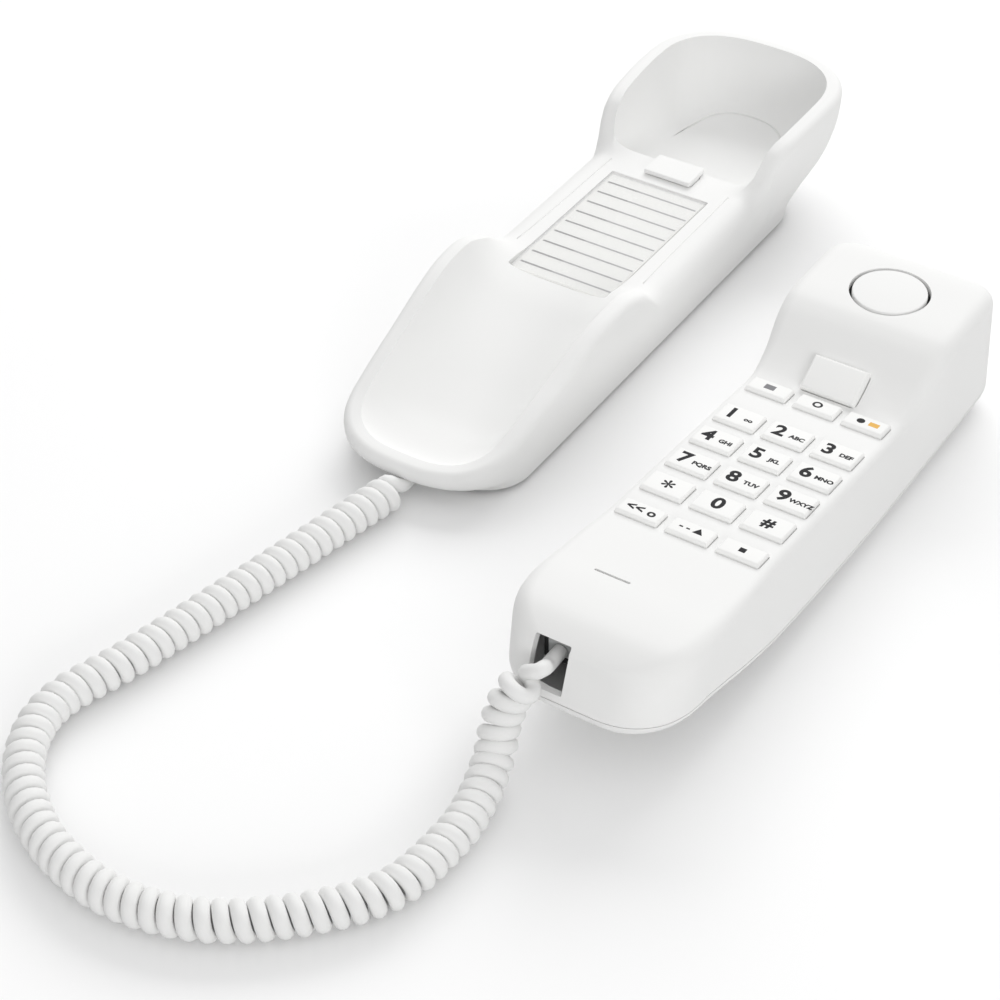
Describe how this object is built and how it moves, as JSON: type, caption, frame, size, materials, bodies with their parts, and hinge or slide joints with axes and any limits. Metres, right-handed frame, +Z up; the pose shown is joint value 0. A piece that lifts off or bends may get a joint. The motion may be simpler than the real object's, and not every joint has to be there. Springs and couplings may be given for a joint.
{
  "type": "corded landline phone",
  "caption": "Slim corded desk telephone: long white cradle base with two cups, keypad handset lying beside it face up, and a curly cord looping between them.",
  "frame": {"origin": "centre of the footprint of base and handset together, on the surface they stand on", "axes": "+Y along base and handset from the mouth end to the ear end, +X from the base towards the handset, +Z up"},
  "size_m": [0.1582, 0.3966, 0.0393],
  "materials": {
    "white_shell": "satin, fine moulded grain",
    "plate_grey": "satin, fine moulded grain",
    "key_white": "satin",
    "cord_white": "soft satin jacket",
    "clear_plug": "clear polished",
    "clear_cover": "clear polished",
    "card_paper": "uncoated card",
    "foot_rubber": "matt",
    "membrane_rubber": "matt",
    "jack_black": "matt",
    "board_green": "satin solder mask",
    "brass_disc": "brushed",
    "screw_steel": "zinc plated",
    "ballast_steel": "plain"
  },
  "bodies": {
    "base": {"base_shell": "white_shell", "base_bottom_plate": "plate_grey", "rubber_foot_1": "foot_rubber", "rubber_foot_2": "foot_rubber", "rubber_foot_3": "foot_rubber", "rubber_foot_4": "foot_rubber", "plate_screw_1": "screw_steel", "plate_screw_2": "screw_steel", "plate_screw_3": "screw_steel", "plate_screw_4": "screw_steel", "base_ballast": "ballast_steel", "base_circuit_board": "board_green", "ringer_disc": "brass_disc", "base_cord_jack": "jack_black", "base_cord_plug": "clear_plug", "line_jack": "jack_black", "index_card": "card_paper", "card_cover": "clear_cover", "base_cord_tail": "cord_white", "curly_cord": "cord_white"},
    "handset": {"handset_front_shell": "white_shell", "handset_back_shell": "white_shell", "hook_key_spring": "screw_steel", "hook_switch": "jack_black", "keypad_membrane": "membrane_rubber", "handset_circuit_board": "board_green", "earpiece_cover": "white_shell", "receiver_capsule": "jack_black", "microphone_capsule": "ballast_steel", "microphone_boot": "membrane_rubber", "handset_cord_jack": "jack_black", "handset_cord_plug": "clear_plug", "handset_cord_tail": "cord_white", "handset_ballast": "ballast_steel", "handset_screw_1": "screw_steel", "handset_screw_2": "screw_steel"},
    "hook_key": {"hook_key": "key_white"},
    "hanger_tab": {"hanger_tab": "white_shell"},
    "key_1": {"key_1": "key_white"},
    "key_2": {"key_2": "key_white"},
    "key_3": {"key_3": "key_white"},
    "key_4": {"key_4": "key_white"},
    "key_5": {"key_5": "key_white"},
    "key_6": {"key_6": "key_white"},
    "key_7": {"key_7": "key_white"},
    "key_8": {"key_8": "key_white"},
    "key_9": {"key_9": "key_white"},
    "key_star": {"key_star": "key_white"},
    "key_0": {"key_0": "key_white"},
    "key_hash": {"key_hash": "key_white"},
    "key_redial": {"key_redial": "key_white"},
    "key_flash": {"key_flash": "key_white"},
    "key_mute": {"key_mute": "key_white"},
    "key_memory": {"key_memory": "key_white"},
    "key_volume": {"key_volume": "key_white"},
    "key_ringer": {"key_ringer": "key_white"}
  },
  "joints": [
    {"name": "handset_lift", "type": "slide", "parent": "base", "child": "handset", "axis": [0, 0, 1], "range_m": [0, 0.12], "deforming": ["curly_cord"]},
    {"name": "hanger_tab_slide", "type": "slide", "parent": "base", "child": "hanger_tab", "axis": [0, 0, 1], "range_m": [0, 0.009]},
    {"name": "hook_key_press", "type": "slide", "parent": "handset", "child": "hook_key", "axis": [0, 0.515, -0.8572], "range_m": [0, 0.0025], "stiffness_N_per_m": 250, "deforming": ["hook_key_spring"]},
    {"name": "key_1_press", "type": "slide", "parent": "handset", "child": "key_1", "axis": [0, -0.0918, -0.9958], "range_m": [0, 0.0008], "stiffness_N_per_m": 400},
    {"name": "key_2_press", "type": "slide", "parent": "handset", "child": "key_2", "axis": [0, -0.0918, -0.9958], "range_m": [0, 0.0008], "stiffness_N_per_m": 400},
    {"name": "key_3_press", "type": "slide", "parent": "handset", "child": "key_3", "axis": [0, -0.0918, -0.9958], "range_m": [0, 0.0008], "stiffness_N_per_m": 400},
    {"name": "key_4_press", "type": "slide", "parent": "handset", "child": "key_4", "axis": [0, -0.0918, -0.9958], "range_m": [0, 0.0008], "stiffness_N_per_m": 400},
    {"name": "key_5_press", "type": "slide", "parent": "handset", "child": "key_5", "axis": [0, -0.0918, -0.9958], "range_m": [0, 0.0008], "stiffness_N_per_m": 400},
    {"name": "key_6_press", "type": "slide", "parent": "handset", "child": "key_6", "axis": [0, -0.0918, -0.9958], "range_m": [0, 0.0008], "stiffness_N_per_m": 400},
    {"name": "key_7_press", "type": "slide", "parent": "handset", "child": "key_7", "axis": [0, -0.0918, -0.9958], "range_m": [0, 0.0008], "stiffness_N_per_m": 400},
    {"name": "key_8_press", "type": "slide", "parent": "handset", "child": "key_8", "axis": [0, -0.0918, -0.9958], "range_m": [0, 0.0008], "stiffness_N_per_m": 400},
    {"name": "key_9_press", "type": "slide", "parent": "handset", "child": "key_9", "axis": [0, -0.0918, -0.9958], "range_m": [0, 0.0008], "stiffness_N_per_m": 400},
    {"name": "key_star_press", "type": "slide", "parent": "handset", "child": "key_star", "axis": [0, -0.0918, -0.9958], "range_m": [0, 0.0008], "stiffness_N_per_m": 400},
    {"name": "key_0_press", "type": "slide", "parent": "handset", "child": "key_0", "axis": [0, -0.0918, -0.9958], "range_m": [0, 0.0008], "stiffness_N_per_m": 400},
    {"name": "key_hash_press", "type": "slide", "parent": "handset", "child": "key_hash", "axis": [0, -0.0918, -0.9958], "range_m": [0, 0.0008], "stiffness_N_per_m": 400},
    {"name": "key_redial_press", "type": "slide", "parent": "handset", "child": "key_redial", "axis": [0, -0.0918, -0.9958], "range_m": [0, 0.0008], "stiffness_N_per_m": 400},
    {"name": "key_flash_press", "type": "slide", "parent": "handset", "child": "key_flash", "axis": [0, -0.0918, -0.9958], "range_m": [0, 0.0008], "stiffness_N_per_m": 400},
    {"name": "key_mute_press", "type": "slide", "parent": "handset", "child": "key_mute", "axis": [0, -0.0918, -0.9958], "range_m": [0, 0.0008], "stiffness_N_per_m": 400},
    {"name": "key_memory_press", "type": "slide", "parent": "handset", "child": "key_memory", "axis": [0, -0.0918, -0.9958], "range_m": [0, 0.0008], "stiffness_N_per_m": 400},
    {"name": "key_volume_press", "type": "slide", "parent": "handset", "child": "key_volume", "axis": [0, -0.0918, -0.9958], "range_m": [0, 0.0008], "stiffness_N_per_m": 400},
    {"name": "key_ringer_press", "type": "slide", "parent": "handset", "child": "key_ringer", "axis": [0, -0.0918, -0.9958], "range_m": [0, 0.0008], "stiffness_N_per_m": 400}
  ]
}
